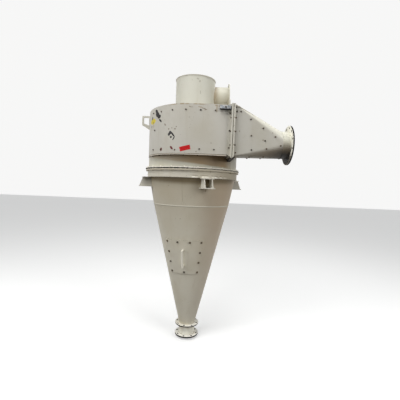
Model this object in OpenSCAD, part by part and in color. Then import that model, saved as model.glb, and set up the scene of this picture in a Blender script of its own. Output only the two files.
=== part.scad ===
// Cyclone separator with a spiral head, a side gas outlet and a bolted inspection door.
// Millimetres. The origin is on the axis, level with the undersides of the four support feet.
// -Y is the front, with the inlet at the right (+X).

/* [Shell] */
// Outside diameter of the barrel
barrel_od = 1030; // [900:5:1150]
// Plate thickness of the barrel, head and cone
shell_t = 5; // [4:0.5:8]
// Height of the joint between barrel and cone, above the feet
joint_z = 204; // [190:1:230]
// Depth of the straight skirt at the top of the cone, below the joint
skirt_h = 95; // [90:1:110]
// How far the skirt lies inside the barrel's outer face
skirt_in = 13; // [8:1:20]

/* [Head] */
// Height of the underside of the head above the feet
head_floor_z = 338; // [310:1:400]
// Height of the head, from its floor to its roof
head_h = 490; // [400:5:600]
// Thickness of the roof and floor plates
deck_t = 6; // [5:0.5:10]
// How far the spiral wall stands out from the barrel at the front
spiral_out = 95; // [60:1:130]
// Angle between points of the spiral wall
spiral_step = 3; // [2:1:5]
// Width of the flat bar under the edge of the head
edge_bar_w = 28; // [20:1:40]

/* [Inlet] */
// Width of the inlet duct, outside its plates
duct_w = 235; // [200:1:250]
// How far the duct's back wall runs from the barrel to the inlet frame
duct_stub = 22; // [15:1:60]
// How far the inlet frames stand out from the duct
frame_leg = 40; // [30:1:45]
// Length of the head frame's leg that lies on the duct
frame_grip = 30; // [25:1:50]
// Thickness of that leg
grip_t = 7; // [5:0.5:10]
// Thickness of the inlet frames' flanges
frame_t = 15; // [10:1:20]
// Thickness of the frame seal
frame_seal_t = 7; // [3:0.5:10]
// Length of the rectangle to round transition
transition_len = 483; // [400:1:600]
// Outside diameter of the inlet pipe
pipe_od = 273; // [250:1:290]
// Wall of the inlet pipe
pipe_t = 5; // [4:0.5:8]
// Length of the inlet pipe
pipe_len = 73; // [60:1:150]
// Height of the inlet pipe's axis above the underside of the head
pipe_rise = 134; // [128:1:200]

/* [Pipe flange] */
// Outside diameter of the inlet flange
inlet_flange_od = 395; // [390:1:420]
// Thickness of the inlet flange
inlet_flange_t = 14; // [10:1:25]
// Bolt circle of the inlet flange
inlet_pcd = 350; // [345:1:360]
// Bolt holes in the inlet flange
inlet_holes = 12; // [8:4:16]
// Diameter of the bolt holes in the inlet flange
inlet_hole_d = 22; // [16:1:24]

/* [Gas outlet] */
// Outside diameter of the outlet tube
outlet_od = 457; // [420:1:480]
// Height of the outlet tube above the roof
outlet_rise = 418; // [400:1:500]
// How far the outlet tube reaches below the floor of the head
finder_drop = 88; // [40:1:110]
// Wall of the outlet tube
outlet_t = 5; // [4:0.5:8]
// Thickness of the cap on the outlet tube
cap_t = 6; // [4:0.5:10]
// How far the cap stands out round the tube
cap_lip = 5; // [2:0.5:12]
// Outside diameter of the side outlet
side_od = 305; // [260:1:320]
// Gap between the top of the side outlet and the cap
side_drop = 32; // [20:1:60]
// How far the side outlet's axis lies behind the axis of the tube
side_offset = 68; // [50:1:70]
// Distance from the axis to the face of the side outlet's flange
side_reach = 397; // [360:1:460]
// Width of the side outlet's flange ring
side_ring_w = 40; // [30:1:45]
// Thickness of the side outlet's flange ring
side_ring_t = 10; // [8:1:14]
// Bolt holes in the side outlet's flange
side_holes = 8; // [6:1:12]
// Diameter of the bolt holes in the side outlet's flange
side_hole_d = 14; // [11:1:18]

/* [Barrel joint] */
// How far the joint flanges stand out from the barrel
joint_out = 30; // [26:1:40]
// Thickness of the barrel's flange
joint_top_t = 12; // [8:1:16]
// Thickness of the cone's flange
joint_low_t = 20; // [12:1:24]
// Thickness of the seal in the joint
joint_seal_t = 4; // [2:0.5:6]
// How far the seal stops short of the flange edge
joint_seal_inset = 3; // [1:0.5:6]
// How far the stiffening band stands out from the barrel
band_out = 10; // [5:1:20]
// Thickness of the stiffening band
band_t = 8; // [6:0.5:12]
// Thickness of the ring that closes the band
band_lip_t = 6; // [5:0.5:8]
// How far that ring stands out from the band
band_lip_out = 4; // [2:0.5:8]

/* [Cone] */
// Depth of the weld between the upper and lower cone, below the feet
seam_drop = 192; // [150:1:230]
// How far the cone has drawn in at that weld
seam_in = 58; // [45:1:70]
// Depth of the lower end of the cone, below the feet
cone_drop = 1631; // [1500:1:1750]
// Outside diameter of the discharge pipe and of the cone's lower end
foot_od = 190; // [168:1:200]
// Height of the weld bead on the cone
bead_h = 12; // [8:1:16]
// How far the weld bead stands out
bead_out = 3; // [2:0.5:5]

/* [Discharge] */
// Outside diameter of the discharge flanges
foot_flange_od = 280; // [270:1:300]
// Thickness of the cone's lower flange
cone_flange_t = 12; // [8:1:16]
// Thickness of the discharge flange
foot_flange_t = 16; // [12:1:20]
// Length of the discharge pipe between its flanges
neck_len = 114; // [80:1:160]
// Bolt circle of the discharge flanges
foot_pcd = 241; // [236:1:246]
// Bolt holes in a discharge flange
foot_holes = 8; // [6:1:12]
// Diameter of the bolt holes in the discharge flanges
foot_hole_d = 22; // [16:1:22]
// Angle that the bolt holes in the discharge flanges are turned by
foot_hole_turn = 9; // [-22:1:22]

/* [Inspection door] */
// Depth of the upper edge of the door, below the feet
door_top_drop = 572; // [520:1:600]
// Height of the door
door_h = 395; // [340:1:440]
// Angle of the middle of the door, from the front towards the inlet
door_angle = -11; // [-30:1:0]
// Angle that the door takes up round the cone
door_sweep = 75; // [60:1:100]
// Thickness of the door plate
door_t = 5; // [4:0.5:8]
// Thickness of the door seal
door_seal_t = 3; // [2:0.5:5]
// Width of the rim of the door that lies on the cone
door_rim = 32; // [25:1:45]
// Diameter of the door handle's bar
handle_d = 20; // [14:1:24]
// Length of the door handle
handle_len = 205; // [150:1:240]
// Clear space behind the door handle
handle_gap = 34; // [28:1:50]

/* [Support feet] */
// Number of support feet
feet = 4; // [3:1:6]
// Angle of the first foot, from the front towards the inlet
feet_angle = 18; // [10:1:30]
// How far a foot reaches past the joint flanges
foot_past = 75; // [65:1:90]
// How much shorter the top plate of a foot is than its foot plate
foot_slope = 34; // [10:1:50]
// Width of a foot plate
foot_w = 126; // [116:1:150]
// Thickness of the foot and top plates
foot_t = 10; // [8:1:14]
// Outside width over the two gussets of a foot
gusset_w = 92; // [84:1:106]
// Thickness of a gusset
gusset_t = 8; // [6:1:12]
// Diameter of the bolt hole in a foot
foot_bolt_d = 18; // [14:1:22]
// Distance from the bolt hole in a foot to the foot's outer edge
foot_bolt_edge = 57; // [45:1:62]

/* [Lifting lugs] */
// How far a lifting lug stands out from the wall
lug_out = 102; // [80:1:120]
// Height of a lifting lug
lug_h = 168; // [140:1:200]
// Thickness of a lifting lug
lug_t = 12; // [10:1:20]
// Width of the rim round the opening of a lifting lug
lug_rim = 20; // [16:1:26]
// Angle of the rear lug, from the front towards the inlet
rear_lug_angle = 152; // [140:1:170]
// Height of the eye plate on the roof
eye_h = 58; // [50:1:80]
// Diameter of the hole in the eye plate
eye_hole_d = 26; // [20:1:30]

/* [Clip plate] */
// Width of the bare metal angle beside the inlet frame
clip_w = 112; // [80:1:120]
// Height of its upright leg
clip_h = 42; // [34:1:60]
// Reach of its lower leg
clip_leg = 36; // [25:1:45]
// Thickness of both legs
clip_t = 6; // [5:1:8]
// Gap between the bare metal angle and the inlet frame
clip_gap = 3; // [2:0.5:12]

/* [Hidden] */
$fn = 96;
gap = 0.3;          // between curved faces of pieces that are welded or bolted together
cut = 1;            // how far a cutting solid runs past the face that it opens

barrel_r = barrel_od / 2;
barrel_in = barrel_r - shell_t;
skirt_r = barrel_r - skirt_in;
seam_r = skirt_r - seam_in;
foot_r = foot_od / 2;
outlet_r = outlet_od / 2;
side_r = side_od / 2;
pipe_r = pipe_od / 2;
joint_r = barrel_r + joint_out;
band_r = barrel_r + band_out;
foot_reach = joint_r + foot_past;
foot_bolt_r = foot_reach - foot_bolt_edge;

roof_z = head_floor_z + head_h;
wall_z = head_floor_z + deck_t;
wall_h = head_h - 2 * deck_t;
front_y = -(barrel_r + spiral_out);
duct_back_y = front_y + duct_w;
cheek_x = sqrt(barrel_r * barrel_r - duct_back_y * duct_back_y);
frame_x = cheek_x + duct_stub;
grip_x = frame_x - frame_grip;
clear_angle = -84;  // where the spiral first stands clear of the barrel
seal_x = frame_x + frame_t;
second_frame_x = seal_x + frame_seal_t;
transition_x = second_frame_x + frame_t;
pipe_x = transition_x + transition_len;
inlet_flange_x = pipe_x + pipe_len;
inlet_face_x = inlet_flange_x + inlet_flange_t;
pipe_y = front_y + duct_w / 2;
pipe_z = head_floor_z + pipe_rise;

cap_z = roof_z + outlet_rise;
side_z = cap_z - side_drop - side_r;
side_flange_x = side_reach - side_ring_t;

cone_flange_z = joint_z - joint_seal_t / 2 - joint_low_t;
barrel_flange_z = joint_z + joint_seal_t / 2;
barrel_z = barrel_flange_z + joint_top_t;
skirt_z = joint_z - skirt_h;
band_lip_z = skirt_z + band_lip_t;
seam_z = -seam_drop;
cone_z = -cone_drop;
neck_z = cone_z - cone_flange_t - neck_len;
door_top_z = -door_top_drop;
door_low_z = door_top_z - door_h;
lower_slope = (seam_r - foot_r) / (seam_z - cone_z);
upper_slope = (skirt_r - seam_r) / (skirt_z - seam_z);
lower_tilt = atan(lower_slope);
foot_top_z = skirt_z;

paint = [0.83, 0.81, 0.77];
steel = [0.42, 0.47, 0.52];
rubber = [0.16, 0.15, 0.14];

// Outer radius of the lower cone, and of the skirt and upper cone, at a height
function cone_r(z) = foot_r + lower_slope * (z - cone_z);
function upper_r(z) = z >= skirt_z ? skirt_r : seam_r + upper_slope * (z - seam_z);

// A point at a radius and an angle, where the angle runs from the front towards the inlet
function round_point(r, a) = [r * sin(a), -r * cos(a)];

// The spiral leaves the barrel at the left and reaches its full radius at the front
function spiral_r(a) = barrel_r + spiral_out * (1 - cos(180 * (1 + a / 90))) / 2;
function spiral_points(inset, start) = [for (a = [start : spiral_step : 0]) round_point(spiral_r(a) - inset, a)];

module ring(outer, inner, h) {
    difference() {
        cylinder(r = outer, h = h);
        translate([0, 0, -cut]) cylinder(r = inner, h = h + 2 * cut);
    }
}

module bolt_holes(pcd, count, d, h, turn = 0) {
    for (i = [0 : count - 1])
        rotate([0, 0, (i + 0.5) * 360 / count + turn])
            translate([pcd / 2, 0, -cut]) cylinder(d = d, h = h + 2 * cut, $fn = 24);
}

// Plan of the spiral and the inlet duct, as far in as the axis
module spiral_plan(start) {
    polygon(concat(spiral_points(0, start),
        [[frame_x, front_y], [frame_x, duct_back_y], [cheek_x, duct_back_y], [0, 0]]));
}

module roof_plate() color(paint)
    translate([0, 0, roof_z - deck_t])
        linear_extrude(deck_t)
            difference() {
                union() {
                    circle(r = barrel_r);
                    spiral_plan(-90);
                }
                circle(r = outlet_r + gap);
            }

module head_floor() color(paint)
    translate([0, 0, head_floor_z])
        linear_extrude(deck_t)
            difference() {
                spiral_plan(clear_angle);
                circle(r = barrel_r + gap);
            }

module edge_bar() color(paint)
    translate([0, 0, head_floor_z - deck_t])
        linear_extrude(deck_t)
            difference() {
                polygon(concat(spiral_points(0, clear_angle), [[grip_x, front_y], [grip_x, 0], [0, 0]]));
                polygon(concat(spiral_points(edge_bar_w, clear_angle),
                    [[grip_x + cut, front_y + edge_bar_w], [grip_x + cut, cut], [0, cut]]));
                circle(r = barrel_r + gap);
            }

module spiral_wall() color(paint)
    translate([0, 0, wall_z])
        linear_extrude(wall_h)
            polygon(concat(
                spiral_points(0, -90),
                [[frame_x, front_y], [frame_x, front_y + shell_t]],
                [for (a = [0 : -spiral_step : -90]) round_point(spiral_r(a) - shell_t, a)]));

module head_shell() color(paint)
    translate([0, 0, wall_z])
        linear_extrude(wall_h) {
            difference() {
                circle(r = barrel_r);
                circle(r = barrel_in);
                polygon([[0, 0], [-2 * barrel_r, 0], [-2 * barrel_r, -2 * barrel_r], [2 * barrel_r, -2 * barrel_r],
                    [2 * barrel_r, duct_back_y - shell_t], [0, duct_back_y - shell_t]]);
            }
            translate([cheek_x - shell_t, duct_back_y - shell_t])
                square([frame_x - cheek_x + shell_t, shell_t]);
        }

// Block round the inlet duct, and the duct's clear opening
module duct_block(x, len, leg, top)
    translate([x, front_y - leg, head_floor_z - leg])
        cube([len, duct_w + 2 * leg, head_h + leg + top]);

module duct_opening(x, len)
    translate([x, front_y + shell_t, wall_z])
        cube([len, duct_w - 2 * shell_t, wall_h]);

module duct_frame(x, t, leg, top)
    difference() {
        duct_block(x, t, leg, top);
        duct_opening(x - cut, t + 2 * cut);
    }

// The head's frame is an angle. One leg lies on the duct, and its back is cut to the barrel
module inlet_frame() color(paint)
    difference() {
        union() {
            duct_block(frame_x, frame_t, frame_leg, grip_t);
            duct_block(grip_x, frame_grip + frame_t / 2, grip_t, grip_t);
        }
        duct_block(grip_x - cut, frame_grip + cut, 0, 0);
        duct_opening(grip_x, frame_grip + frame_t + cut);
        translate([0, 0, head_floor_z - frame_leg - cut])
            cylinder(r = barrel_r + gap, h = head_h + frame_leg + cut);
    }

module frame_seal() color(rubber)
    duct_frame(seal_x, frame_seal_t, frame_leg - joint_seal_inset, grip_t - joint_seal_inset);

module transition_frame() color(paint)
    duct_frame(second_frame_x, frame_t, frame_leg, grip_t);

// Solid that runs from the duct's rectangle to the pipe's circle
module square_to_round(inset, past) {
    slab = 1;
    hull() {
        translate([transition_x - past, front_y + inset, head_floor_z + inset])
            cube([slab, duct_w - 2 * inset, head_h - 2 * inset]);
        translate([pipe_x - slab + past, pipe_y, pipe_z]) rotate([0, 90, 0])
            cylinder(r = pipe_r - inset, h = slab, $fn = 48);
    }
}

module transition() color(paint)
    difference() {
        square_to_round(0, 0);
        square_to_round(shell_t, cut / 2);
    }

module inlet_pipe() color(paint)
    translate([pipe_x, pipe_y, pipe_z]) rotate([0, 90, 0])
        ring(pipe_r, pipe_r - pipe_t, pipe_len);

module inlet_flange() color(paint)
    translate([inlet_flange_x, pipe_y, pipe_z]) rotate([0, 90, 0])
        difference() {
            ring(inlet_flange_od / 2, pipe_r - pipe_t, inlet_flange_t);
            bolt_holes(inlet_pcd, inlet_holes, inlet_hole_d, inlet_flange_t);
        }

module outlet_tube() color(paint)
    difference() {
        translate([0, 0, head_floor_z - finder_drop])
            ring(outlet_r, outlet_r - outlet_t, cap_z - head_floor_z + finder_drop);
        translate([0, side_offset, side_z]) rotate([0, 90, 0])
            cylinder(r = side_r - outlet_t, h = 2 * outlet_r);
    }

module outlet_cap() color(paint)
    translate([0, 0, cap_z]) cylinder(r = outlet_r + cap_lip, h = cap_t);

module side_outlet() color(paint)
    difference() {
        translate([0, side_offset, side_z]) rotate([0, 90, 0])
            ring(side_r, side_r - outlet_t, side_flange_x);
        translate([0, 0, roof_z]) cylinder(r = outlet_r + gap, h = outlet_rise);
    }

module side_flange() color(paint)
    translate([side_flange_x, side_offset, side_z]) rotate([0, 90, 0])
        difference() {
            ring(side_r + side_ring_w, side_r - outlet_t, side_ring_t);
            bolt_holes(2 * side_r + side_ring_w, side_holes, side_hole_d, side_ring_t);
        }

module lower_barrel() color(paint)
    translate([0, 0, barrel_z]) ring(barrel_r, barrel_in, wall_z - barrel_z);

module barrel_flange() color(paint)
    translate([0, 0, barrel_flange_z]) ring(joint_r, barrel_in, joint_top_t);

module joint_seal() color(rubber)
    translate([0, 0, joint_z - joint_seal_t / 2])
        ring(joint_r - joint_seal_inset, barrel_in, joint_seal_t);

module cone_flange() color(paint)
    translate([0, 0, cone_flange_z]) ring(joint_r, skirt_r - shell_t, joint_low_t);

module ring_band() color(paint)
    translate([0, 0, band_lip_z]) ring(band_r, band_r - band_t, cone_flange_z - band_lip_z);

module band_lip() color(paint)
    translate([0, 0, skirt_z]) ring(band_r + band_lip_out, skirt_r + gap, band_lip_t);

module cone_upper() color(paint)
    rotate_extrude()
        polygon([[seam_r, seam_z], [skirt_r, skirt_z], [skirt_r, cone_flange_z],
            [skirt_r - shell_t, cone_flange_z], [skirt_r - shell_t, skirt_z], [seam_r - shell_t, seam_z]]);

module seam_weld() color(paint)
    rotate_extrude()
        polygon([[upper_r(seam_z + bead_h / 2) + gap, seam_z + bead_h / 2],
            [seam_r + gap, seam_z],
            [cone_r(seam_z - bead_h / 2) + gap, seam_z - bead_h / 2],
            [seam_r + bead_out, seam_z - bead_h / 4],
            [seam_r + bead_out, seam_z + bead_h / 4]]);

// Band of a cone wall between two heights, from one distance off the outer face to another
module cone_band(low, high, near, far, sweep) {
    rotate([0, 0, -90 + door_angle - sweep / 2]) rotate_extrude(angle = sweep)
        polygon([[cone_r(low) + near, low], [cone_r(low) + far, low],
            [cone_r(high) + far, high], [cone_r(high) + near, high]]);
}

// Angle that an arc of the door's rim takes up, at the middle of the door
rim_angle = door_rim / cone_r((door_top_z + door_low_z) / 2) * 180 / PI;

module door_opening(near, far) {
    cone_band(door_low_z + door_rim, door_top_z - door_rim, near, far, door_sweep - 2 * rim_angle);
}

module cone_lower() color(paint)
    difference() {
        rotate_extrude()
            polygon([[foot_r, cone_z], [seam_r, seam_z], [seam_r - shell_t, seam_z], [foot_r - shell_t, cone_z]]);
        door_opening(-2 * shell_t, shell_t);
    }

module door_seal() color(rubber)
    difference() {
        cone_band(door_low_z, door_top_z, gap, gap + door_seal_t, door_sweep);
        door_opening(-shell_t, 2 * shell_t);
    }

module inspection_door() color(paint)
    cone_band(door_low_z, door_top_z, 2 * gap + door_seal_t, 2 * gap + door_seal_t + door_t, door_sweep);

module door_handle() color(paint) {
    mid_z = (door_top_z + door_low_z) / 2;
    face = 2 * gap + door_seal_t + door_t;
    rotate([0, 0, -90 + door_angle])
        translate([cone_r(mid_z), 0, mid_z]) rotate([0, lower_tilt, 0])
            translate([face / cos(lower_tilt), 0, 0]) {
                for (side = [-1, 1])
                    translate([gap, 0, side * (handle_len - handle_d) / 2]) rotate([0, 90, 0])
                        cylinder(d = handle_d, h = handle_gap + handle_d / 2, $fn = 32);
                translate([gap + handle_gap + handle_d / 2, 0, -handle_len / 2])
                    cylinder(d = handle_d, h = handle_len, $fn = 32);
            }
}

module cone_foot_flange() color(paint)
    translate([0, 0, cone_z - cone_flange_t])
        difference() {
            ring(foot_flange_od / 2, foot_r - shell_t, cone_flange_t);
            bolt_holes(foot_pcd, foot_holes, foot_hole_d, cone_flange_t, foot_hole_turn);
        }

module discharge_neck() color(paint)
    translate([0, 0, neck_z]) ring(foot_r, foot_r - shell_t, neck_len);

module discharge_flange() color(paint)
    translate([0, 0, neck_z - foot_flange_t])
        difference() {
            ring(foot_flange_od / 2, foot_r - shell_t, foot_flange_t);
            bolt_holes(foot_pcd, foot_holes, foot_hole_d, foot_flange_t, foot_hole_turn);
        }

// One support foot: a foot plate, two gussets and a top plate, cut to the cone
module support_foot(i) {
    inner = seam_r;
    depth = foot_reach - inner;
    gusset_h = foot_top_z - 2 * foot_t;
    rotate([0, 0, -90 + feet_angle + i * 360 / feet])
        difference() {
            union() {
                translate([inner, -foot_w / 2, 0]) cube([depth, foot_w, foot_t]);
                translate([inner, -foot_w / 2, foot_top_z - foot_t]) cube([depth - foot_slope, foot_w, foot_t]);
                for (side = [-1, 1])
                    translate([inner, side * (gusset_w - gusset_t) / 2 + gusset_t / 2, foot_t]) rotate([90, 0, 0])
                        linear_extrude(gusset_t)
                            polygon([[0, 0], [depth - foot_t / 2, 0],
                                [depth - foot_slope - foot_t / 2, gusset_h], [0, gusset_h]]);
            }
            rotate_extrude()
                polygon([[0, seam_z], [seam_r + gap, seam_z], [skirt_r + gap, skirt_z],
                    [skirt_r + gap, skirt_z + cut], [0, skirt_z + cut]]);
            translate([foot_bolt_r, 0, -cut]) cylinder(d = foot_bolt_d, h = foot_t + 2 * cut, $fn = 32);
        }
}

module foot_front() color(paint) support_foot(0);
module foot_right() color(paint) support_foot(1);
module foot_rear() color(paint) support_foot(2);
module foot_left() color(paint) support_foot(3);

// Lifting lug: a plate on edge with a wide opening, its foot cut back to the wall
module lifting_lug() {
    low = 0.36 * lug_h;
    translate([0, lug_t / 2, 0]) rotate([90, 0, 0])
        linear_extrude(lug_t)
            difference() {
                polygon([[0, 0], [lug_out, low], [lug_out, lug_h], [0, lug_h]]);
                polygon([[lug_rim, low], [lug_out - lug_rim, low + lug_rim],
                    [lug_out - lug_rim, lug_h - lug_rim], [lug_rim, lug_h - lug_rim]]);
            }
}

module lug_at(a)
    rotate([0, 0, -90 + a]) translate([barrel_r + gap, 0, roof_z - lug_h]) lifting_lug();

module left_lug() color(paint) lug_at(-90);
module rear_lug() color(paint) lug_at(rear_lug_angle);

// The eye plate stands on the leg of the head's frame
module roof_eye() color(paint)
    translate([(grip_x + frame_x - lug_t) / 2, front_y + duct_w / 4, roof_z + grip_t]) rotate([90, 0, 90])
        linear_extrude(lug_t)
            difference() {
                union() {
                    translate([-eye_h * 0.55, 0]) square([eye_h * 1.1, eye_h / 2]);
                    translate([0, eye_h / 2]) circle(r = eye_h * 0.55);
                }
                translate([0, eye_h / 2]) circle(d = eye_hole_d, $fn = 32);
                translate([-eye_h, -2 * eye_h]) square([2 * eye_h, 2 * eye_h]);
            }

// The bare angle is clamped on the leg of the head's frame
module clip_plate() color(steel)
    translate([frame_x - clip_gap, front_y - grip_t, roof_z - clip_h - 2 * clip_t]) rotate([90, 0, -90])
        linear_extrude(clip_w)
            polygon([[0, 0], [clip_leg, 0], [clip_leg, clip_t], [clip_t, clip_t], [clip_t, clip_h], [0, clip_h]]);

roof_plate();
spiral_wall();
head_shell();
head_floor();
edge_bar();
inlet_frame();
frame_seal();
transition_frame();
transition();
inlet_pipe();
inlet_flange();
outlet_tube();
outlet_cap();
side_outlet();
side_flange();
lower_barrel();
barrel_flange();
joint_seal();
cone_flange();
ring_band();
band_lip();
cone_upper();
seam_weld();
cone_lower();
cone_foot_flange();
discharge_neck();
discharge_flange();
door_seal();
inspection_door();
door_handle();
foot_front();
foot_right();
foot_rear();
foot_left();
left_lug();
rear_lug();
roof_eye();
clip_plate();
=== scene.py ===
from math import cos, pi, radians, sin, sqrt

import bmesh
import bpy
from mathutils import Matrix, Vector


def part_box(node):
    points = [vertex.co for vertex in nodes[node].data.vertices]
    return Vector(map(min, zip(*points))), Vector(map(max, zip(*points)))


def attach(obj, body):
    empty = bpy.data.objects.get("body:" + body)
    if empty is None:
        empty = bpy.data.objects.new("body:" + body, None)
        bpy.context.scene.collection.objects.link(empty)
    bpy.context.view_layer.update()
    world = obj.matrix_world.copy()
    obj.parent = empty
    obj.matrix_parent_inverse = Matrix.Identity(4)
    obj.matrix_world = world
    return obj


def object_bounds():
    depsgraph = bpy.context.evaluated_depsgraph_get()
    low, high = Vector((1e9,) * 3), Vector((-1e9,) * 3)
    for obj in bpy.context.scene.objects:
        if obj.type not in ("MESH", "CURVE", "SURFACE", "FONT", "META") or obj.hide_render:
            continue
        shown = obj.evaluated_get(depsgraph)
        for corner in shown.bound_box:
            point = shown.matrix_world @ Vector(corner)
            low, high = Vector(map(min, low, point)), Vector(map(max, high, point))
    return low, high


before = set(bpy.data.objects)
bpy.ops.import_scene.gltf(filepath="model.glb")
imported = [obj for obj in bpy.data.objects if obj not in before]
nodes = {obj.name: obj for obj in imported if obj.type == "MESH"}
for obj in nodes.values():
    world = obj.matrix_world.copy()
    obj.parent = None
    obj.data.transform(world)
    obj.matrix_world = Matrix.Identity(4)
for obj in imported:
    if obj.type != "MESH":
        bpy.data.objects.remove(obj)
cad_box = [list(corner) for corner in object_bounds()]
bpy.ops.object.select_all(action="DESELECT")

# Camera: a short lens held 3.4 m in front of the cyclone and a little to the right of its axis.
# Its eye is level with the feet. It looks slightly down, and rolls because the axis leans in view.
photo_px = 400
focal_px = 286.6
eye = (0.097, -3.4405, 0.0219)
look_down = 0.0472
roll = -0.0399
camera_data = bpy.data.cameras.new("camera")
camera_data.lens = focal_px / photo_px * camera_data.sensor_width
camera = bpy.data.objects.new("camera", camera_data)
bpy.context.scene.collection.objects.link(camera)
camera.location = eye
camera.rotation_euler = (radians(90) - look_down, roll, 0)
bpy.context.scene.camera = camera
bpy.context.scene.view_settings.view_transform = "Standard"

# Stage: a plain pale floor just under the discharge flange, in a white studio. Both are pale
# where they are seen, and send the object only a small part of that light.
floor_gap = 0.03
floor_side = 60
floor_tone = (0.80, 0.80, 0.79, 1)
floor_bounce = (0.13, 0.115, 0.095, 1)
studio_white = (0.93, 0.93, 0.925, 1)
soft_air = (0.94, 0.97, 1.0, 1)
air_strength = 0.215
floor_glow = 0.42
lamp_distance = 6


def new_material(name):
    """A new material, with its node tree and its surface shader."""
    material = bpy.data.materials.new(name)
    material.use_nodes = True
    return material, material.node_tree, material.node_tree.nodes["Principled BSDF"]


def add(tree, kind, feeds=None, **settings):
    """Adds a shader node, sets it up and feeds its sockets."""
    made = tree.nodes.new("ShaderNode" + kind)
    for name, value in settings.items():
        setattr(made, name, value)
    for socket, value in (feeds or {}).items():
        if isinstance(value, bpy.types.NodeSocket):
            tree.links.new(value, made.inputs[socket])
        else:
            made.inputs[socket].default_value = value
    return made


def sums(tree, operation, *values):
    """The result of a Math node."""
    return add(tree, "Math", dict(enumerate(values)), operation=operation).outputs[0]


def tint(tree, mask, under, over):
    """One colour laid over another where the mask is 1."""
    feeds = {0: mask, 6: under, 7: over}
    return add(tree, "Mix", feeds, data_type="RGBA", clamp_factor=True).outputs[2]


def seen_directly(tree):
    """1 for camera, mirror and see-through rays, and 0 for the light that surfaces pass on."""
    path = add(tree, "LightPath").outputs
    plain = sums(tree, "MAXIMUM", path["Is Camera Ray"], path["Is Glossy Ray"])
    return sums(tree, "MAXIMUM", plain, path["Is Transmission Ray"])


bpy.ops.mesh.primitive_plane_add(size=floor_side, location=(0, 0, cad_box[0][2] - floor_gap))
floor = bpy.context.object
floor.name = "floor"
bpy.ops.object.transform_apply(location=True)
floor_paint, tree, shader = new_material("floor_paint")
shader.inputs["Roughness"].default_value = 0.85
shader.inputs["Emission Color"].default_value = studio_white
direct = seen_directly(tree)
tree.links.new(tint(tree, direct, floor_bounce, floor_tone), shader.inputs["Base Color"])
tree.links.new(sums(tree, "MULTIPLY", direct, floor_glow), shader.inputs["Emission Strength"])
floor.data.materials.append(floor_paint)

studio = bpy.data.worlds.new("studio")
studio.use_nodes = True
bpy.context.scene.world = studio
tree = studio.node_tree
sky = tree.nodes["Background"]
direct = seen_directly(tree)
tree.links.new(tint(tree, direct, soft_air, studio_white), sky.inputs["Color"])
strength = add(tree, "MapRange", {"Value": direct, "To Min": air_strength, "To Max": 1.0})
tree.links.new(strength.outputs[0], sky.inputs["Strength"])


def soft_lamp(name, side, watts, azimuth, elevation):
    """A square lamp that faces the cyclone. The azimuth runs from the front towards the inlet."""
    data = bpy.data.lights.new(name, "AREA")
    data.size = side
    data.energy = watts
    lamp = bpy.data.objects.new(name, data)
    bpy.context.scene.collection.objects.link(lamp)
    away = Vector((
        sin(radians(azimuth)) * cos(radians(elevation)),
        -cos(radians(azimuth)) * cos(radians(elevation)),
        sin(radians(elevation)),
    ))
    lamp.location = away * lamp_distance
    lamp.rotation_euler = away.to_track_quat("Z", "Y").to_euler()


soft_lamp("key_lamp", side=2.6, watts=158, azimuth=-30, elevation=50)
soft_lamp("top_lamp", side=3.0, watts=140, azimuth=30, elevation=80)
soft_lamp("left_lamp", side=3.0, watts=116, azimuth=-60, elevation=15)
soft_lamp("right_lamp", side=3.0, watts=140, azimuth=50, elevation=15)
soft_lamp("back_lamp", side=3.0, watts=28, azimuth=130, elevation=40)

# Head wall: 5 mm plate rolled to the spiral and run out straight to the inlet frame. It has an
# off-white semi-gloss paint, dusty and a little yellowed, that is scraped to black at the left.
head_white = (0.52, 0.50, 0.445, 1)
# Dust, dirt and black, which are also laid on as painted shade in places below
pale_dust_and_shade = (0.36, 0.305, 0.21, 1)
dirt_and_shade_brown = (0.13, 0.09, 0.05, 1)
rust_brown = (0.27, 0.18, 0.075, 1)
black_scrape_and_shade = (0.006, 0.004, 0.004, 1)
dab_red = (0.11, 0.006, 0.008, 1)
dab_yellow = (0.62, 0.50, 0.03, 1)
# What yellowing and dust leave of a paint's red, green and blue
yellowing = (0.90, 0.875, 0.81, 1)
dusting = (0.74, 0.67, 0.57, 1)
roof_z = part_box("roof_plate")[1].z


def object_place(tree):
    """The place of a point on the object, as a vector and as its X, Y and Z."""
    where = add(tree, "TexCoord").outputs["Object"]
    return where, add(tree, "SeparateXYZ", {0: where}).outputs


def noise(tree, where, scale, detail, roughness=0.5, stretch=None):
    """Cloudy noise, finer for a larger scale, and drawn out along an axis by the stretch."""
    if stretch:
        where = add(tree, "Mapping", {"Vector": where, "Scale": stretch}).outputs[0]
    feeds = {"Vector": where, "Scale": scale, "Detail": detail, "Roughness": roughness}
    return add(tree, "TexNoise", feeds).outputs["Fac"]


def fade(tree, value, start, end, most=1.0):
    """Rises smoothly from 0 at the start to the most at the end."""
    feeds = {"Value": value, "From Min": start, "From Max": end, "To Max": most}
    return add(tree, "MapRange", feeds, interpolation_type="SMOOTHSTEP").outputs[0]


def both(tree, first, second):
    """Where two masks overlap."""
    return sums(tree, "MULTIPLY", first, second)


def blot(tree, where, x, z, half_x, half_z, lean, ragged):
    """A ragged oval seen from the front, turned by the lean in degrees."""
    feeds = {"Vector": where, "Location": (x, 0, z), "Rotation": (0, radians(lean), 0)}
    feeds["Scale"] = (half_x, 1e3, half_z)
    local = add(tree, "Mapping", feeds, vector_type="TEXTURE").outputs[0]
    reach = add(tree, "VectorMath", {0: local}, operation="LENGTH").outputs["Value"]
    reach = sums(tree, "MULTIPLY_ADD", noise(tree, where, 70, 4), ragged, reach)
    return fade(tree, reach, 1.05 + ragged / 2, 0.9 + ragged / 2)


def blots(tree, where, colour, spots, over, ragged, strength=1.0):
    """Lays a colour over each spot, given as X, Z, half width, half height and lean."""
    for spot in spots:
        mask = sums(tree, "MULTIPLY", blot(tree, where, *spot, ragged), strength)
        colour = tint(tree, mask, colour, over)
    return colour


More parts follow.
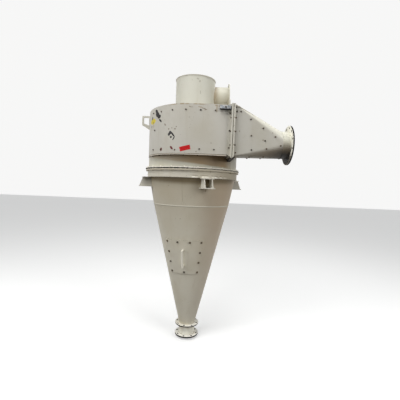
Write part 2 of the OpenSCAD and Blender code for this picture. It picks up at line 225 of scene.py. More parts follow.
def paint_coat(name, tone=head_white, dirt=0.3, rough=0.4, shine=0.28, marks=None):
    """Sprayed paint with orange peel, cloudy yellowing, dirt that ran down and brown specks."""
    material, tree, shader = new_material(name)
    where, place = object_place(tree)
    aged = [channel * left for channel, left in zip(tone, yellowing)]
    dusty = [channel * left for channel, left in zip(tone, dusting)]
    clouds = noise(tree, where, 2.6, 5)
    colour = tint(tree, fade(tree, clouds, 0.42, 0.72, 0.7), tone, aged)
    runs = noise(tree, where, 1.0, 5, 0.6, stretch=(16, 16, 1.1))
    colour = tint(tree, fade(tree, runs, 0.53, 0.8, dirt), colour, dusty)
    dust = noise(tree, where, 9, 6, 0.65)
    colour = tint(tree, fade(tree, dust, 0.5, 0.8, dirt * 0.8), colour, dusty)
    specks = noise(tree, where, 75, 2, 0.4)
    colour = tint(tree, fade(tree, specks, 0.71, 0.77, min(0.7, dirt * 1.4)), colour, dirt_and_shade_brown)
    if marks:
        colour = marks(tree, where, place, colour)
    tree.links.new(colour, shader.inputs["Base Color"])
    feeds = {"Value": dust, "To Min": rough - 0.08, "To Max": rough + 0.22}
    tree.links.new(add(tree, "MapRange", feeds).outputs[0], shader.inputs["Roughness"])
    shader.inputs["Specular IOR Level"].default_value = shine
    feeds = {"Height": noise(tree, where, 3.5, 2), "Strength": 0.25, "Distance": 0.02}
    dents = add(tree, "Bump", feeds)
    feeds = {"Height": noise(tree, where, 240, 2), "Normal": dents.outputs[0]}
    peel = add(tree, "Bump", {**feeds, "Strength": 0.12, "Distance": 0.001})
    tree.links.new(peel.outputs[0], shader.inputs["Normal"])
    return material


def coat(material, *names):
    """Gives CAD nodes their finish."""
    for name in names:
        mesh = nodes[name].data
        mesh.materials.clear()
        mesh.materials.append(material)


# Scrapes, stains and dabs of paint on the wall: X, Z, half width, half height and lean
scrapes = (
    (-0.383, 0.781, 0.014, 0.026, -30),
    (-0.370, 0.746, 0.021, 0.033, -28),
    (-0.351, 0.722, 0.022, 0.018, -40),
    (-0.335, 0.679, 0.009, 0.024, -42),
    (-0.223, 0.546, 0.014, 0.018, 0),
    (-0.200, 0.534, 0.009, 0.042, -41),
    (-0.232, 0.534, 0.013, 0.020, 20),
    (-0.185, 0.489, 0.006, 0.021, 30),
    (-0.213, 0.502, 0.011, 0.011, 0),
    (-0.438, 0.727, 0.008, 0.018, 0),
    (-0.448, 0.643, 0.005, 0.009, 0),
)
scuffs = (
    (-0.280, 0.631, 0.007, 0.014, -25),
    (-0.173, 0.581, 0.009, 0.008, 20),
    (-0.160, 0.602, 0.007, 0.006, 20),
    (-0.238, 0.584, 0.007, 0.009, 0),
    (-0.206, 0.592, 0.006, 0.006, 0),
    (0.106, 0.782, 0.020, 0.005, 8),
    (0.122, 0.771, 0.016, 0.005, -15),
    (-0.030, 0.795, 0.014, 0.004, 20),
    (-0.012, 0.793, 0.008, 0.003, -10),
    (0.044, 0.363, 0.006, 0.006, 0),
    (0.188, 0.451, 0.006, 0.005, 0),
)
stains = (
    (0.222, 0.818, 0.014, 0.010, 0),
    (0.232, 0.790, 0.007, 0.045, 0),
    (0.254, 0.812, 0.006, 0.012, 0),
    (-0.446, 0.625, 0.006, 0.022, 0),
    (-0.421, 0.645, 0.006, 0.024, 0),
    (0.070, 0.795, 0.024, 0.006, 10),
)
red_dabs = (
    (-0.318, 0.386, 0.012, 0.017, 0),
    (-0.204, 0.396, 0.011, 0.022, -42),
)
yellow_dab = (-0.428, 0.691, 0.035, 0.030, 0)
dab_core = (-0.425, 0.675, 0.006, 0.010, 0)
# Where the stain along the roof's edge begins, is full, starts to thin and ends in X, and in Y
edge_stain_x = (-0.27, -0.17, 0.06, 0.16)
edge_stain_y = (-0.3, -0.4)


def roof_edge_stain(tree, where, place, colour, depth):
    """A patchy brown line along the top edge, in front of the outlet tube."""
    left, full_left, full_right, right = edge_stain_x
    line = fade(tree, place["Z"], roof_z - depth, roof_z - depth * 0.4)
    line = both(tree, line, fade(tree, place["X"], left, full_left))
    line = both(tree, line, fade(tree, place["X"], right, full_right))
    line = both(tree, line, fade(tree, place["Y"], *edge_stain_y))
    patchy = fade(tree, noise(tree, where, 26, 4), 0.35, 0.55, 0.8)
    return tint(tree, both(tree, line, patchy), colour, rust_brown)


def wall_marks(tree, where, place, colour):
    """Stains, scuffs, three dabs of paint, scrapes to black, and a brown line under the roof."""
    colour = blots(tree, where, colour, stains, rust_brown, ragged=1.0, strength=0.5)
    colour = blots(tree, where, colour, scuffs, dirt_and_shade_brown, ragged=0.8, strength=0.65)
    colour = blots(tree, where, colour, red_dabs, dab_red, ragged=0.3)
    colour = blots(tree, where, colour, [yellow_dab], dab_yellow, ragged=0.2)
    colour = blots(tree, where, colour, [dab_core], rust_brown, ragged=0.3)
    colour = blots(tree, where, colour, scrapes, black_scrape_and_shade, ragged=0.35)
    return roof_edge_stain(tree, where, place, colour, depth=0.014)


coat(paint_coat("wall_paint", marks=wall_marks), "spiral_wall")
coat(paint_coat("shell_paint"), "head_shell")

# Liner bolts: hexagon heads over thin washers that hold the wear liner inside the head. They are
# bare and have gone nearly black. They follow the edges of the wall about 145 mm apart.
bolt_black = (0.05, 0.043, 0.033, 1)
bolt_rust = (0.10, 0.065, 0.035, 1)
# Degrees that each bolt stands turned past the one before
bolt_turn = 17
# A distance from the axis at which nothing is left
outside = 2
# X of a row of bolts, and their heights
wall_bolts = (
    (0.362, (0.741, 0.575, 0.409)),
    (0.219, (0.768, 0.388)),
    (0.075, (0.768, 0.388)),
    (-0.071, (0.768,)),
    (-0.205, (0.768,)),
    (-0.169, (0.376,)),
    (-0.326, (0.768,)),
    (-0.318, (0.386,)),
    (-0.422, (0.775,)),
    (-0.400, (0.590,)),
    (-0.414, (0.391,)),
)


def strike(name, start, towards):
    """Where a straight line first meets a CAD node, and the way that the surface faces there."""
    hit, place, facing = nodes[name].ray_cast(Vector(start), Vector(towards))[:3]
    if not hit:
        raise RuntimeError("nothing of " + name + " lies there")
    return place, facing


def from_front(name, x, z):
    """The point of a node that is seen from straight in front."""
    return strike(name, (x, -outside, z), (0, 1, 0))


def from_side(name, angle, z):
    """The point of a node that is seen towards the axis. The angle runs from the front."""
    away = Vector((sin(radians(angle)), -cos(radians(angle)), 0))
    return strike(name, away * outside + Vector((0, 0, z)), -away)


def select_where(model, kind, test):
    """Selects the faces or edges of the model in edit mode whose middle passes the test."""
    bpy.ops.object.mode_set(mode="EDIT")
    bpy.ops.mesh.select_all(action="DESELECT")
    mesh = bmesh.from_edit_mesh(model.data)
    for face in mesh.faces:
        if kind == "FACE" and test(face.calc_center_median()):
            face.select_set(True)
    for edge in mesh.edges:
        if kind == "EDGE" and test((edge.verts[0].co + edge.verts[1].co) / 2):
            edge.select_set(True)
    bmesh.update_edit_mesh(model.data)


def leave_edit(model, smooth=None):
    """Ends edit mode, applies the model's place to its mesh, and smooths edges up to an angle."""
    bpy.ops.object.mode_set(mode="OBJECT")
    bpy.ops.object.select_all(action="DESELECT")
    model.select_set(True)
    bpy.context.view_layer.objects.active = model
    bpy.ops.object.transform_apply(location=True, rotation=True, scale=True)
    if smooth:
        bpy.ops.object.shade_smooth_by_angle(angle=radians(smooth))


def join(models, name):
    """Joins models into the first, under a new name."""
    bpy.ops.object.select_all(action="DESELECT")
    for model in models:
        model.select_set(True)
    bpy.context.view_layer.objects.active = models[0]
    if len(models) > 1:
        bpy.ops.object.join()
    models[0].name = name
    models[0].data.name = name
    return models[0]


def chamfered_disc(sides, radius, height, foot_z, chamfer):
    """A disc or prism that stands at a level, with its upper edge chamfered."""
    bpy.ops.mesh.primitive_cylinder_add(
        vertices=sides, radius=radius, depth=height, location=(0, 0, foot_z + height / 2))
    disc = bpy.context.object
    select_where(disc, "EDGE", lambda middle: middle.z > height * 0.49)
    bpy.ops.mesh.bevel(offset=chamfer, segments=1)
    leave_edit(disc)
    return disc


def hex_head(name, across, height, washer, washer_t=0.002):
    """A chamfered hexagon over a round washer, standing on Z 0 and pointing up."""
    head = chamfered_disc(6, across / sqrt(3), height, washer_t, across * 0.09)
    ring = chamfered_disc(20, washer, washer_t, 0, washer_t * 0.3)
    return join([head, ring], name)


def finish_piece(piece, material):
    """Gives a new piece its finish and the body that it rides on."""
    piece.data.materials.clear()
    piece.data.materials.append(material)
    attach(piece, "root")


def set_out(name, model, spots, material):
    """Copies a model to each spot, top outwards and turned a little further, and joins them."""
    copies = []
    for number, (place, outward) in enumerate(spots):
        copy = model.copy()
        copy.data = model.data.copy()
        bpy.context.scene.collection.objects.link(copy)
        facing = Vector(outward).to_track_quat("Z", "Y").to_matrix().to_4x4()
        turn = Matrix.Rotation(radians(bolt_turn * number), 4, "Z")
        copy.data.transform(Matrix.Translation(place) @ facing @ turn)
        copies.append(copy)
    finish_piece(join(copies, name), material)


def bare_metal(name, tone, worn, metallic=0.6, marks=None):
    """Bare metal with patchy rust and a rough, pitted skin."""
    material, tree, shader = new_material(name)
    where, place = object_place(tree)
    patches = noise(tree, where, 38, 5)
    colour = tint(tree, fade(tree, patches, 0.4, 0.65), tone, worn)
    if marks:
        colour = marks(tree, where, place, colour)
    tree.links.new(colour, shader.inputs["Base Color"])
    shader.inputs["Metallic"].default_value = metallic
    feeds = {"Value": patches, "To Min": 0.43, "To Max": 0.80}
    tree.links.new(add(tree, "MapRange", feeds).outputs[0], shader.inputs["Roughness"])
    feeds = {"Height": noise(tree, where, 300, 4), "Strength": 0.3, "Distance": 0.001}
    tree.links.new(add(tree, "Bump", feeds).outputs[0], shader.inputs["Normal"])
    return material


black_bolts = bare_metal("black_bolts", bolt_black, bolt_rust)
small_head = hex_head("small_head", across=0.013, height=0.006, washer=0.008)
frame_leg_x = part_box("inlet_frame")[0].x
spots = []
for x, heights in wall_bolts:
    carrier = "inlet_frame" if x > frame_leg_x else "spiral_wall"
    spots += [from_front(carrier, x, z) for z in heights]
set_out("liner_bolts", small_head, spots, black_bolts)

# Red tape: a strip of cloth tape, 114 mm long and 45 mm wide, pressed on the wall. It runs a
# little uphill, bends with the plate and has a fine weave.
tape_red = (0.50, 0.008, 0.010, 1)
tape_worn = (0.55, 0.06, 0.04, 1)
tape_middle = (-0.072, 0.393)
tape_size = (0.114, 0.045)
tape_lean = 13
tape_lift = 0.0008
tape_start_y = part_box("spiral_wall")[0].y - 0.02
bpy.ops.mesh.primitive_grid_add(x_subdivisions=20, y_subdivisions=6, size=1)
tape = bpy.context.object
tape.name = "red_tape"
tape.scale = (*tape_size, 1)
tape.rotation_euler = (radians(90), -radians(tape_lean), 0)
tape.location = (tape_middle[0], tape_start_y, tape_middle[1])
# Its two ends are torn off unevenly
select_where(tape, "EDGE", lambda middle: abs(middle.x) > 0.499)
bpy.ops.transform.vertex_random(offset=0.012, uniform=0, normal=0, seed=3)
leave_edit(tape, smooth=40)
press = tape.modifiers.new("press", "SHRINKWRAP")
press.target = nodes["spiral_wall"]
press.offset = tape_lift
bpy.ops.object.modifier_apply(modifier="press")
cloth, tree, shader = new_material("tape_cloth")
where = object_place(tree)[0]
weave = add(tree, "TexChecker", {"Vector": where, "Scale": 900.0}).outputs["Fac"]
worn = fade(tree, noise(tree, where, 60, 4), 0.55, 0.75, 0.5)
tree.links.new(tint(tree, worn, tape_red, tape_worn), shader.inputs["Base Color"])
shader.inputs["Roughness"].default_value = 0.6
shader.inputs["Specular IOR Level"].default_value = 0.2
feeds = {"Height": weave, "Strength": 0.2, "Distance": 0.0005}
tree.links.new(add(tree, "Bump", feeds).outputs[0], shader.inputs["Normal"])
finish_piece(tape, cloth)

# Head floor and edge bar: a flat plate and a 28 mm bar welded under the foot of the wall. The
# underside is painted dark brown as painted shade with dirt. Bolts hang from the middle of the
# bar.
underside_shade_brown = (0.11, 0.08, 0.05, 1)
bar_white = (0.72, 0.67, 0.58, 1)
bar_bolts = (-0.441, -0.349, -0.218, -0.082, 0.060, 0.209, 0.332)
bar_inset = 0.014
# A height near the foot of the wall, and a drop that ends well below the bar
wall_foot_z = 0.36
well_below = Vector((0, 0, 0.2))


def faces_along(tree, axis):
    """How far a surface faces along an axis: 1 is straight along it, -1 straight against it."""
    normal = add(tree, "NewGeometry").outputs["Normal"]
    return add(tree, "SeparateXYZ", {0: normal}).outputs[axis]


def faces_down(tree, start=-0.3, end=-0.7, most=1.0):
    """A mask of the surfaces that face the ground."""
    return fade(tree, faces_along(tree, "Z"), start, end, most)


def bar_marks(tree, where, place, colour):
    """Painted shade with dirt on the underside only."""
    return tint(tree, faces_down(tree), colour, underside_shade_brown)


# The whole head floor is painted dark brown: painted shade with dirt
coat(paint_coat("underside_shade", tone=underside_shade_brown, dirt=0.8, rough=0.6), "head_floor")
coat(paint_coat("bar_paint", tone=bar_white, dirt=0.15, marks=bar_marks), "edge_bar")
spots = []
for x in bar_bolts:
    foot, outward = from_front("spiral_wall", x, wall_foot_z)
    spots.append(strike("edge_bar", foot - outward * bar_inset - well_below, (0, 0, 1)))
set_out("edge_bar_bolts", small_head, spots, black_bolts)

# Roof: 6 mm plate in the outline of the head. Dust has settled on it, and it has rusted where
# water stood. A fillet weld joins it to the outlet tube.
weld_white = (0.60, 0.57, 0.49, 1)
# Length of one ripple of a bead, and how far its middle line lies from the plates' surface
weld_ripple = 0.008
weld_off = 0.001
cap_overhang = 0.005
tube_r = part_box("outlet_cap")[1].x - cap_overhang


def roof_marks(tree, where, place, colour):
    """Settled dust and rust on the top, and the same brown line on the edge as on the wall."""
    top = fade(tree, faces_along(tree, "Z"), 0.4, 0.8)
    dust = both(tree, top, fade(tree, noise(tree, where, 5, 5), 0.3, 0.7, 0.7))
    colour = tint(tree, dust, colour, pale_dust_and_shade)
    rust = both(tree, top, fade(tree, noise(tree, where, 11, 6), 0.60, 0.70, 0.8))
    colour = tint(tree, rust, colour, rust_brown)
    return tint(tree, top, roof_edge_stain(tree, where, place, colour, depth=0.02), colour)


def finish_bead(bead, uneven, paint):
    """Makes the surface of a weld bead uneven, and paints it."""
    bpy.ops.object.mode_set(mode="EDIT")
    bpy.ops.mesh.select_all(action="SELECT")
    bpy.ops.transform.vertex_random(offset=uneven, uniform=0, normal=1, seed=2)
    leave_edit(bead, smooth=60)
    finish_piece(bead, paint or weld_paint)


def ring_weld(name, around, width, middle, facing=(0, 0, 1), paint=None):
    """A painted weld bead around a pipe of that radius."""
    radius = around + weld_off
    turn = Vector(facing).to_track_quat("Z", "Y").to_euler()
    bpy.ops.mesh.primitive_torus_add(
        major_segments=round(2 * pi * radius / weld_ripple), minor_segments=8,
        major_radius=radius, minor_radius=width / 2, location=middle, rotation=turn)
    bead = bpy.context.object
    bead.name = name
    finish_bead(bead, width * 0.1, paint)


def straight_weld(name, start, end, width, paint=None):
    """A painted weld bead between two points."""
    line = end - start
    bpy.ops.mesh.primitive_cylinder_add(
        vertices=8, radius=width / 2, depth=line.length, location=(start + end) / 2,
        rotation=line.to_track_quat("Z", "Y").to_euler())
    bead = bpy.context.object
    bead.name = name
    select_where(bead, "EDGE", lambda middle: abs(middle.z) < 0.001)
    bpy.ops.mesh.subdivide(number_cuts=round(line.length / weld_ripple))
    finish_bead(bead, width * 0.12, paint)


coat(paint_coat("roof_paint", marks=roof_marks), "roof_plate")
weld_paint = paint_coat("weld_paint", tone=weld_white, dirt=0.5)
ring_weld("tube_foot_weld", tube_r, width=0.008, middle=(0, 0, roof_z + weld_off))

# Outlet tube, cap, side outlet and its ring flange: rolled 5 mm plate, welded, with a flat cap
# that stands 5 mm proud. They are a little whiter than the head, and brown dirt has run down
# between the tube and the side outlet.
tube_white = (0.57, 0.56, 0.485, 1)
branch_white = (0.56, 0.545, 0.455, 1)
streak_brown = (0.30, 0.23, 0.14, 1)
branch_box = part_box("side_outlet")
branch_y = (branch_box[0].y + branch_box[1].y) / 2
branch_z = (branch_box[0].z + branch_box[1].z) / 2
branch_r = (branch_box[1].z - branch_box[0].z) / 2
branch_bead_r = 0.004
# X, Z, half width, half height and lean
tube_scuffs = (
    (0.028, 1.205, 0.016, 0.008, 20),
    (0.050, 1.180, 0.010, 0.014, 0),
    (-0.035, 1.190, 0.006, 0.005, 0),
    (0.060, 1.060, 0.005, 0.020, 0),
    (-0.080, 0.905, 0.006, 0.004, 0),
)


def outlet_marks(tree, where, place, colour):
    """Small scuffs near the cap, and brown along the foot."""
    colour = blots(tree, where, colour, tube_scuffs, dirt_and_shade_brown, ragged=1.0, strength=0.35)
    foot = fade(tree, place["Z"], roof_z + 0.035, roof_z + 0.004)
    patchy = fade(tree, noise(tree, where, 20, 4), 0.38, 0.62, 0.7)
    return tint(tree, both(tree, foot, patchy), colour, rust_brown)


def branch_marks(tree, where, place, colour):
    """Brown streaks beside the tube, and painted shade on the underside."""
    near = fade(tree, place["X"], tube_r + 0.065, tube_r - 0.005)
    streaks = fade(tree, noise(tree, where, 1.0, 4, stretch=(60, 60, 6)), 0.2, 0.5, 0.8)
    colour = tint(tree, both(tree, near, streaks), colour, streak_brown)
    # Painted shade: the lower part of the round side outlet is darkened
    low = fade(tree, place["Z"], branch_z + 0.085, branch_z - branch_r * 0.6, 0.3)
    return tint(tree, low, colour, pale_dust_and_shade)


tube_paint = paint_coat("tube_paint", tone=tube_white, dirt=0.2, marks=outlet_marks)
coat(tube_paint, "outlet_tube", "outlet_cap")
branch_paint = paint_coat("branch_paint", tone=branch_white, marks=branch_marks)
coat(branch_paint, "side_outlet", "side_flange")
# The bead between tube and side outlet starts as a circle that is cast back on the round tube
bpy.ops.mesh.primitive_circle_add(
    vertices=120, radius=branch_r + weld_off, location=(tube_r + 0.1, branch_y, branch_z),
    rotation=(0, radians(90), 0))
saddle = bpy.context.object
saddle.name = "branch_weld"
fit = saddle.modifiers.new("fit", "SHRINKWRAP")
fit.target = nodes["outlet_tube"]
fit.wrap_method = "PROJECT"
fit.use_project_z = True
fit.use_negative_direction = True
fit.use_positive_direction = False
bpy.ops.object.modifier_apply(modifier="fit")
bpy.ops.object.convert(target="CURVE")
saddle.data.bevel_depth = branch_bead_r
saddle.data.bevel_resolution = 2
bpy.ops.object.convert(target="MESH")
finish_bead(saddle, branch_bead_r * 0.2, weld_paint)
ring_weld("cap_weld", tube_r, width=0.005, middle=(0, 0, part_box("outlet_cap")[0].z - weld_off))

# Inlet frames: an angle round the head's duct and a flat frame on the transition, with a rubber
# seal between. Bolts 100 to 131 mm apart hold them together. Their paint is chipped along the
# edges, and a black V of painted shadow lies round their feet.
frame_white = (0.56, 0.54, 0.47, 1)
rubber_grey = (0.17, 0.16, 0.13, 1)
frame_bolt_z = (0.318, 0.437, 0.568, 0.699, 0.800)
frame_bolt_y = (-0.632, -0.357)
foot_bolt_y = -0.4925
seal_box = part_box("frame_seal")
frame_seal_x = seal_box[0].x
frame_back_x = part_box("transition_frame")[1].x
frame_front_x = frame_seal_x - (frame_back_x - seal_box[1].x)
# Rust beside the middle nuts: X, Z, half width, half height and lean
frame_rust = [(frame_back_x - 0.004, z, 0.007, 0.006, 0) for z in frame_bolt_z[1:4]]
# Top of the painted shadow's V at the seal, and how steeply it rises to either side
shadow_v_z = 0.310
shadow_v_rise = 0.9
chip_width = 0.004


def chipped(tree, where, place, colour):
    """Brown chips along the sharp edges of a piece."""
    rounded = add(tree, "Bevel", {"Radius": chip_width}, samples=4).outputs[0]
    feeds = {0: rounded, 1: add(tree, "NewGeometry").outputs["Normal"]}
    flat = add(tree, "VectorMath", feeds, operation="DOT_PRODUCT").outputs["Value"]
    chips = fade(tree, noise(tree, where, 55, 4, 0.6), 0.48, 0.62, 0.8)
    return tint(tree, both(tree, fade(tree, flat, 0.985, 0.90), chips), colour, dirt_and_shade_brown)


def rubber(name, tone, dusty):
    """Sheet rubber, greyed with dust."""
    material, tree, shader = new_material(name)
    where = object_place(tree)[0]
    dust = fade(tree, noise(tree, where, 30, 5), 0.45, 0.75, 0.6)
    tree.links.new(tint(tree, dust, tone, dusty), shader.inputs["Base Color"])
    shader.inputs["Roughness"].default_value = 0.85
    shader.inputs["Specular IOR Level"].default_value = 0.2
    feeds = {"Height": noise(tree, where, 200, 3), "Strength": 0.4, "Distance": 0.001}
    tree.links.new(add(tree, "Bump", feeds).outputs[0], shader.inputs["Normal"])
    return material


def frame_marks(tree, where, place, colour):
    """Chips along the edges, rust beside the bolts, and a black V of painted shadow round the
    feet.
    """
    colour = blots(tree, where, colour, frame_rust, dirt_and_shade_brown, ragged=0.8, strength=0.75)
    off = sums(tree, "ABSOLUTE", sums(tree, "SUBTRACT", place["X"], frame_seal_x))
    level = sums(tree, "MULTIPLY_ADD", off, -shadow_v_rise, place["Z"])
    # A black V of painted shadow under the frames' feet
    level = sums(tree, "MULTIPLY_ADD", noise(tree, where, 30, 4), 0.01, level)
    shadow_v = fade(tree, level, shadow_v_z + 0.004, shadow_v_z - 0.004)
    return tint(tree, shadow_v, chipped(tree, where, place, colour), black_scrape_and_shade)


frame_paint = paint_coat("frame_paint", tone=frame_white, marks=frame_marks)
coat(frame_paint, "inlet_frame", "transition_frame")
coat(rubber("frame_rubber", rubber_grey, pale_dust_and_shade), "frame_seal")
frame_nut = hex_head("frame_nut", across=0.014, height=0.012, washer=0.009)
frame_bolts = [(y, z) for y in frame_bolt_y for z in frame_bolt_z]
frame_bolts.append((foot_bolt_y, frame_bolt_z[0]))
spots = [(Vector((frame_front_x, y, z)), (-1, 0, 0)) for y, z in frame_bolts]
set_out("frame_bolt_heads", small_head, spots, black_bolts)
spots = [(Vector((frame_back_x, y, z)), (1, 0, 0)) for y, z in frame_bolts]
set_out("frame_nuts", frame_nut, spots, black_bolts)

# Transition: plates folded from the duct's rectangle to the pipe's circle. Bolts of its wear
# liner stand along the folds. Its upward faces carry a painted highlight in the pipe's white, and
# its downward faces a painted shade that is nearly black towards the pipe.
transition_white = (0.485, 0.468, 0.417, 1)
pipe_white_and_ridge_highlight = (0.70, 0.685, 0.585, 1)
# X and Z of the bolts on either side
fold_bolts = (
    (0.430, 0.765), (0.469, 0.766), (0.567, 0.693), (0.691, 0.611), (0.812, 0.532),
    (0.578, 0.536), (0.714, 0.491), (0.585, 0.398), (0.731, 0.414), (0.868, 0.448), (0.430, 0.366),
)
# X of the bolts below, and Y of their two rows
floor_bolt_x = (0.575, 0.715)
floor_bolt_y = (-0.565, -0.42)
# X, Z, half width, half height and lean
transition_stains = (
    (0.461, 0.577, 0.007, 0.007, 0),
    (0.784, 0.570, 0.006, 0.006, 0),
    (0.695, 0.498, 0.007, 0.007, 0),
)
transition_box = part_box("transition")
pipe_y = (transition_box[0].y + transition_box[1].y) / 2


def transition_marks(tree, where, place, colour):
    """Painted highlight on top, painted shade below, darker towards the pipe, and a few stains."""
    # Painted highlight: faces that point up are lightened towards the pipe's white
    colour = tint(tree, fade(tree, faces_along(tree, "Z"), 0.12, 0.45, 0.72), colour, pipe_white_and_ridge_highlight)
    # Painted shade: faces that point down are darkened, and are black towards the pipe
    low = both(tree, faces_down(tree, -0.05, -0.5, 0.72), fade(tree, place["X"], 0.30, 0.80))
    colour = tint(tree, low, colour, dirt_and_shade_brown)
    lowest_shade = both(tree, faces_down(tree, -0.15, -0.7), fade(tree, place["X"], 0.70, 0.93, 0.8))
    colour = tint(tree, lowest_shade, colour, black_scrape_and_shade)
    return blots(tree, where, colour, transition_stains, dirt_and_shade_brown, ragged=1.0, strength=0.5)


coat(paint_coat("transition_paint", tone=transition_white, marks=transition_marks), "transition")
spots = [from_front("transition", x, z) for x, z in fold_bolts]
spots += [strike("transition", (x, outside, z), (0, -1, 0)) for x, z in fold_bolts]
spots += [strike("transition", (x, y, 0), (0, 0, 1)) for x in floor_bolt_x for y in floor_bolt_y]
set_out("transition_bolts", small_head, spots, black_bolts)

# Inlet pipe and flange: a short length of 273 mm pipe with a plate flange welded on its end. The
# rim of the flange is black, and the lower half of pipe and flange has painted shade with dirt.
inlet_rim_white = (0.90, 0.885, 0.80, 1)
pipe_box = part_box("inlet_pipe")
pipe_z = (pipe_box[0].z + pipe_box[1].z) / 2
pipe_r = (pipe_box[1].z - pipe_box[0].z) / 2
inlet_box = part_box("inlet_flange")
rim_r = (inlet_box[1].z - inlet_box[0].z) / 2
ridge_in = 0.004
ridge_down = 0.002


def off_pipe_axis(tree, place):
    """Distance of a point from the inlet pipe's axis."""
    across = sums(tree, "SUBTRACT", place["Y"], pipe_y)
    up = sums(tree, "SUBTRACT", place["Z"], pipe_z)
    return sums(tree, "SQRT", sums(tree, "ADD", both(tree, across, across), both(tree, up, up)))


def pipe_marks(tree, where, place, colour):
    """Painted shade with dirt on the lower half, black at the bottom."""
    # Painted shade with dirt: the lower half darkens, and the bottom is black
    low = fade(tree, place["Z"], pipe_z + 0.05, pipe_z - 0.08, 0.9)
    colour = tint(tree, low, colour, dirt_and_shade_brown)
    lowest_shade = fade(tree, place["Z"], pipe_z - 0.04, pipe_z - 0.11, 0.92)
    return tint(tree, lowest_shade, colour, black_scrape_and_shade)


def rim_and_hole_walls(tree, axis):
    """A mask of the rim and the hole walls of a flange that faces along an axis."""
    return fade(tree, sums(tree, "ABSOLUTE", faces_along(tree, axis)), 0.5, 0.2)


def inlet_rim_marks(tree, where, place, colour):
    """A black rim and hole walls, and painted shade with dirt low down and round the pipe's foot.
    """
    # Painted shade with dirt on the lower half, and painted shadow round the pipe's foot and along
    # the bottom
    low = fade(tree, place["Z"], pipe_z - 0.06, pipe_z - 0.16, 0.85)
    colour = tint(tree, low, colour, dirt_and_shade_brown)
    out = off_pipe_axis(tree, place)
    pipe_foot_shadow = fade(tree, out, pipe_r + 0.030, pipe_r + 0.012)
    pipe_foot_shadow = both(tree, pipe_foot_shadow, fade(tree, place["Z"], pipe_z, pipe_z - 0.05))
    colour = tint(tree, pipe_foot_shadow, colour, black_scrape_and_shade)
    foot = fade(tree, out, rim_r - 0.004, rim_r - 0.012)
    foot = both(tree, foot, fade(tree, place["Z"], pipe_z - 0.11, pipe_z - 0.15, 0.8))
    colour = tint(tree, foot, colour, black_scrape_and_shade)
    return tint(tree, rim_and_hole_walls(tree, "X"), colour, black_scrape_and_shade)


pipe_paint = paint_coat("pipe_paint", tone=pipe_white_and_ridge_highlight, marks=pipe_marks)
coat(pipe_paint, "inlet_pipe")
inlet_rim_paint = paint_coat(
    "inlet_rim_paint", tone=inlet_rim_white, shine=0.08, marks=inlet_rim_marks)
coat(inlet_rim_paint, "inlet_flange")
for name, x in (("pipe_weld", pipe_box[0].x), ("inlet_flange_weld", pipe_box[1].x - weld_off)):
    middle = (x, pipe_y, pipe_z)
    ring_weld(name, pipe_r, width=0.007, middle=middle, facing=(1, 0, 0), paint=pipe_paint)
# The welds along the two upper folds of the transition run down to the top of the pipe
ridge_low = Vector((pipe_box[0].x, pipe_y, pipe_z + pipe_r))
for y in (transition_box[0].y + ridge_in, transition_box[1].y - ridge_in):
    ridge_high = Vector((transition_box[0].x + ridge_in, y, transition_box[1].z - ridge_down))
    straight_weld("ridge_weld", ridge_high, ridge_low, width=0.010)

# Lower barrel: the same 5 mm plate, rolled round and welded under the head. Painted shadow with
# brown grime lies below the overhang of the spiral, deeper and heavier towards the inlet.
barrel_white = (0.62, 0.60, 0.505, 1)
overhang_shadow_grime = (0.34, 0.22, 0.10, 1)
# Lower edge of the painted shadow and grime in the middle, and how it slopes and bends with X
shadow_grime_low_z = 0.2525
shadow_grime_slope = 0.098
shadow_grime_bend = -0.066


def barrel_marks(tree, where, place, colour):
    """Painted shadow and grime under the overhang, down to an edge that bends with the spiral."""
    front = fade(tree, place["Y"], -0.20, -0.30)
    edge = sums(tree, "MULTIPLY_ADD", place["X"], shadow_grime_slope, place["Z"])
    edge = sums(tree, "MULTIPLY_ADD", both(tree, place["X"], place["X"]), shadow_grime_bend, edge)
    edge = sums(tree, "MULTIPLY_ADD", noise(tree, where, 14, 4), 0.012, edge)
    strength = add(tree, "MapRange", {
        "Value": place["X"], "From Min": -0.45, "From Max": 0.05, "To Min": 0.3, "To Max": 0.8})
    # Painted shadow with grime below the spiral's overhang
    shadow_soiled = both(tree, fade(tree, edge, shadow_grime_low_z, shadow_grime_low_z + 0.02), strength.outputs[0])
    shadow_soiled = both(tree, shadow_soiled, fade(tree, place["X"], 0.44, 0.34))
    return tint(tree, both(tree, shadow_soiled, front), colour, overhang_shadow_grime)


coat(paint_coat("barrel_paint", tone=barrel_white, marks=barrel_marks), "lower_barrel")

# Barrel joint: two flange rings with a rubber seal between them, bolted all round. The bolts are
# painted over. Black caulk has been pressed into the joint and stands out of it unevenly.
joint_white = (0.90, 0.87, 0.765, 1)
rubber_black = (0.014, 0.012, 0.009, 1)
rubber_dust = (0.075, 0.062, 0.044, 1)
joint_bolts = 24
joint_bolt_in = 0.010
joint_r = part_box("barrel_flange")[1].x
joint_top_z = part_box("barrel_flange")[1].z
joint_low_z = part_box("cone_flange")[0].z
joint_seal_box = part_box("joint_seal")
joint_seal_z = (joint_seal_box[0].z + joint_seal_box[1].z) / 2
caulk_r = 0.0042
caulk_in = 0.0015
caulk_swell = 0.0018
barrel_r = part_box("lower_barrel")[1].x


def joint_marks(tree, where, place, colour):
    """A darker lower ring, and chips along the edges."""
    lower = fade(tree, place["Z"], joint_seal_z, joint_seal_z - 0.006, 0.7)
    return chipped(tree, where, place, tint(tree, lower, colour, pale_dust_and_shade))


